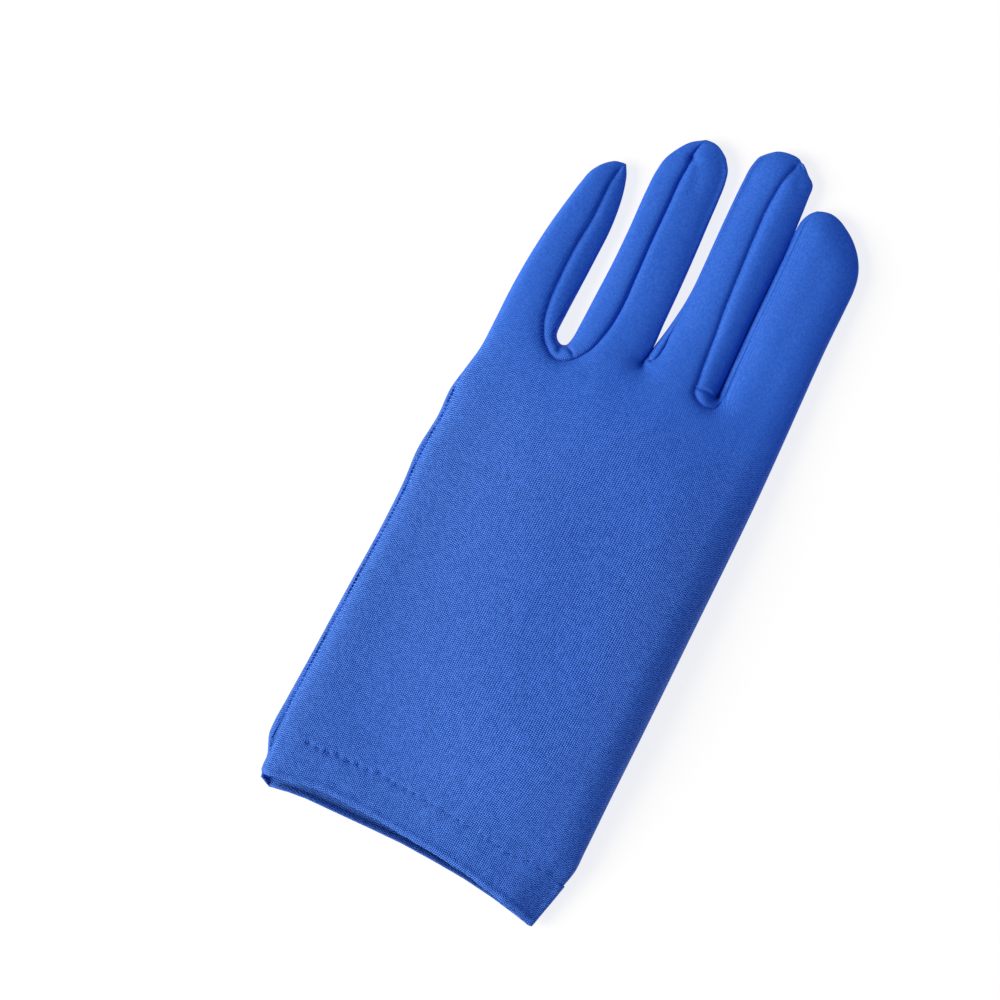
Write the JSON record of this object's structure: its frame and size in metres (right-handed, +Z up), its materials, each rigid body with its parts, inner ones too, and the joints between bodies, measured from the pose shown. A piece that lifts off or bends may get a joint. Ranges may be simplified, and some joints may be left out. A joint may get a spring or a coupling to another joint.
{
  "type": "wrist length dress glove",
  "caption": "Wrist length stretch-knit dress glove lying flat, back up, with narrow side pieces between the fingers, a turned-in hem and the thumb folded beneath.",
  "frame": {"origin": "middle of the glove's outline on the surface that it lies on", "axes": "+Y from the hem to the fingertips, +X towards the index finger side, +Z up from the palm to the back of the hand"},
  "size_m": [0.0942, 0.2259, 0.0142],
  "materials": {
    "knit_cloth": "matt fine stretch knit, royal blue"
  },
  "bodies": {
    "root": {"trank": "knit_cloth", "fourchette_little_ring": "knit_cloth", "fourchette_ring_middle": "knit_cloth", "fourchette_middle_index": "knit_cloth", "thumb": "knit_cloth"}
  },
  "joints": []
}
